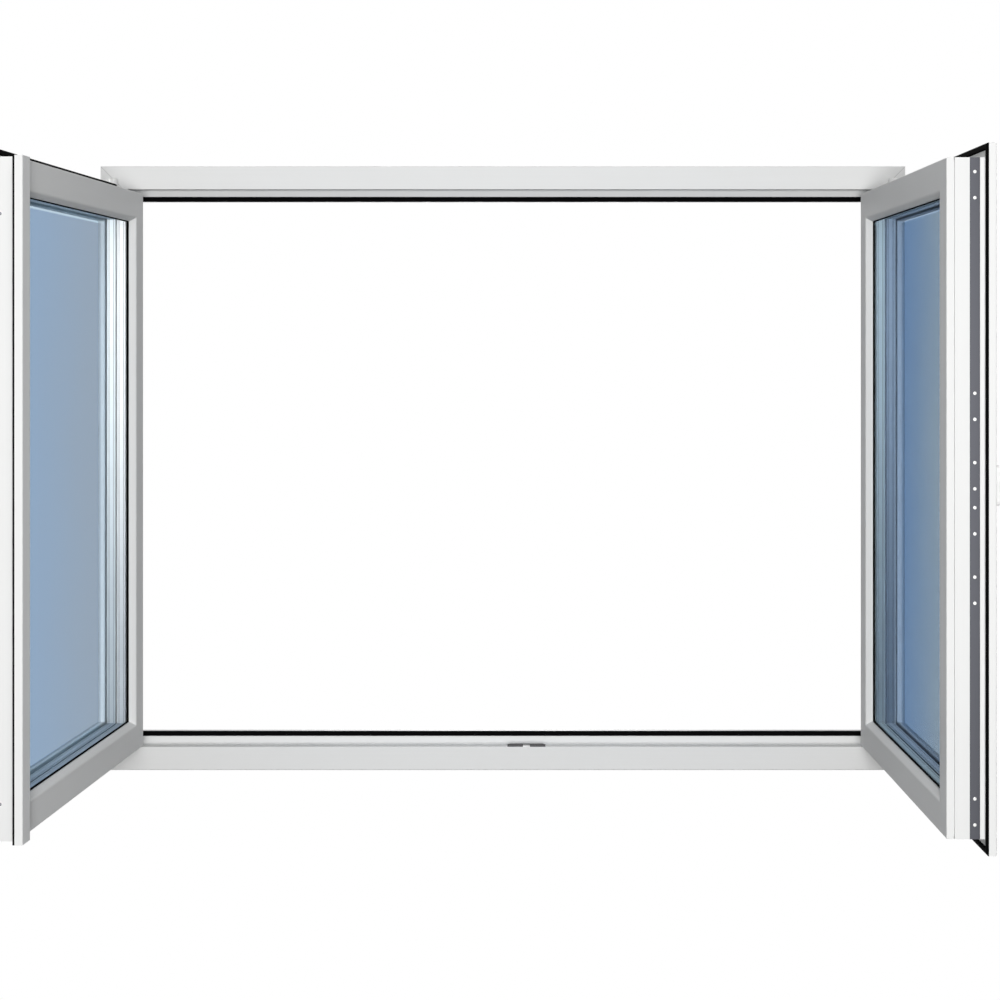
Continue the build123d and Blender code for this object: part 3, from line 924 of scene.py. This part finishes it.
def make_world(settings):
    """Soft light that is stronger from above, in front of white surroundings."""
    world = bpy.data.worlds.new("studio")
    world.use_nodes = True
    tree = world.node_tree
    tree.nodes.clear()
    way = add_node(tree, "ShaderNodeTexCoord", {}, {}).outputs["Generated"]
    upward = add_node(tree, "ShaderNodeSeparateXYZ", {}, {0: way}).outputs["Z"]
    spread = {"Value": upward, "From Min": -1.0, "To Min": settings.ground_light, "To Max": settings.sky_light}
    strength = add_node(tree, "ShaderNodeMapRange", {}, spread).outputs[0]
    soft = add_node(tree, "ShaderNodeBackground", {}, {"Color": (1, 1, 1, 1), "Strength": strength})
    white = add_node(tree, "ShaderNodeBackground", {}, {"Color": (1, 1, 1, 1), "Strength": 1.0})
    mixed = {0: backdrop_share(tree), 1: soft.outputs[0], 2: white.outputs[0]}
    mix = add_node(tree, "ShaderNodeMixShader", {}, mixed)
    add_node(tree, "ShaderNodeOutputWorld", {}, {"Surface": mix.outputs[0]})
    bpy.context.scene.world = world


def make_floor(settings):
    """Pale floor that holds the soft shadow under the window and goes over into white further out."""
    half = 15.0
    mesh = bpy.data.meshes.new("floor")
    square = [(-half, -half), (half, -half), (half, half), (-half, half)]
    mesh.from_pydata([(x, y, -settings.floor_drop) for x, y in square], [], [(0, 1, 2, 3)])
    floor = bpy.data.objects.new("floor", mesh)
    bpy.context.scene.collection.objects.link(floor)
    finish = Finish("pale floor")
    reach = finish.node("ShaderNodeVectorMath", {"operation": "LENGTH"}, {0: finish.place()}, "Value")
    far = finish.step(reach, 0.7, 1.2)
    share = Value(finish, backdrop_share(finish.tree)) * (0.6 + far * 0.4)
    plain = finish.node("ShaderNodeBsdfDiffuse", {}, {"Color": (0.12, 0.115, 0.11, 1)})
    white = finish.node("ShaderNodeEmission", {}, {"Strength": 1.0})
    mix = finish.node("ShaderNodeMixShader", {}, {0: share, 1: plain, 2: white})
    add_node(finish.tree, "ShaderNodeOutputMaterial", {}, {"Surface": mix})
    mesh.materials.append(finish.material)


def make_lamp(name, place, target, power, size, lit=()):
    """Square lamp, which lights everything, or only the named pieces and nothing inside the glazing."""
    lamp = bpy.data.lights.new(name, "AREA")
    lamp.energy = power
    lamp.size = size
    item = bpy.data.objects.new(name, lamp)
    item.location = place
    item.rotation_euler = (Vector(target) - Vector(place)).to_track_quat("-Z", "Y").to_euler()
    bpy.context.scene.collection.objects.link(item)
    if lit:
        item.visible_camera = False
        group = bpy.data.collections.new(f"{name} pieces")
        for piece in bpy.data.objects:
            inside = piece.name.endswith(("panes", "spacers", "gaskets", "holes"))
            if piece.type == "MESH" and piece.name.startswith(lit) and not inside:
                group.objects.link(piece)
        item.light_linking.receiver_collection = group


def make_camera(settings):
    camera = bpy.data.cameras.new("camera")
    camera.lens = settings.lens
    camera.shift_y = settings.camera_shift
    item = bpy.data.objects.new("camera", camera)
    item.location = settings.camera_place
    item.rotation_euler = (math.pi / 2, 0, 0)
    bpy.context.scene.collection.objects.link(item)
    bpy.context.scene.camera = item


class WINDOW_OT_set_stage(bpy.types.Operator):
    """Set up the camera, the soft studio light, the white surroundings and the floor"""

    bl_idname = "two_leaf.set_stage"
    bl_label = "Set stage"

    def execute(self, context):
        settings = context.scene.two_leaf.stage
        context.scene.view_settings.view_transform = "Standard"
        make_world(settings)
        make_floor(settings)
        middle = (0, 0, 0.6)
        make_lamp("front lamp", settings.front_place, middle, settings.front_power, settings.front_size)
        make_lamp("top lamp", settings.top_place, middle, settings.top_power, settings.top_size)
        reach = settings.fill_distance
        fills = {
            "rear fill": ((0, reach, 1.6), ("frame_",)),
            "left fill": ((-reach, 0.6, 1.2), ("left_", "meeting_", "frame_left")),
            "right fill": ((reach, 0.6, 1.2), ("right_", "lock_", "handle_", "frame_right")),
        }
        for name, (place, lit) in fills.items():
            make_lamp(name, place, middle, settings.fill_power, settings.fill_size, lit)
        make_camera(settings)
        return {"FINISHED"}


OPERATORS = (
    WINDOW_OT_dress_bars,
    WINDOW_OT_dress_glazing,
    WINDOW_OT_dress_hardware,
    WINDOW_OT_punch_spacers,
    WINDOW_OT_drive_screws,
    WINDOW_OT_round_beads,
    WINDOW_OT_seat_keep_pad,
    WINDOW_OT_set_stage,
)


class WINDOW_PT_sidebar(bpy.types.Panel):
    """Lists the steps that finish the window"""

    bl_label = "Two-leaf window"
    bl_space_type = "VIEW_3D"
    bl_region_type = "UI"
    bl_category = "Window"

    def draw(self, context):
        settings = context.scene.two_leaf
        for group in (settings.plastic, settings.glazing, settings.hardware, settings.stage):
            for name in group.__annotations__:
                self.layout.prop(group, name)
        for step in OPERATORS:
            self.layout.operator(step.bl_idname)


SETTINGS = (PlasticSettings, GlazingSettings, HardwareSettings, StageSettings, WindowSettings)
CLASSES = (*SETTINGS, *OPERATORS, WINDOW_PT_sidebar)


def register():
    for item in CLASSES:
        bpy.utils.register_class(item)
    bpy.types.Scene.two_leaf = PointerProperty(type=WindowSettings)


def unregister():
    del bpy.types.Scene.two_leaf
    for item in reversed(CLASSES):
        bpy.utils.unregister_class(item)


def main():
    register()
    bpy.ops.two_leaf.dress_bars()
    bpy.ops.two_leaf.dress_glazing()
    bpy.ops.two_leaf.dress_hardware()
    bpy.ops.two_leaf.punch_spacers()
    bpy.ops.two_leaf.drive_screws()
    bpy.ops.two_leaf.round_beads()
    bpy.ops.two_leaf.seat_keep_pad()
    bpy.ops.two_leaf.set_stage()


if __name__ == "__main__":
    main()
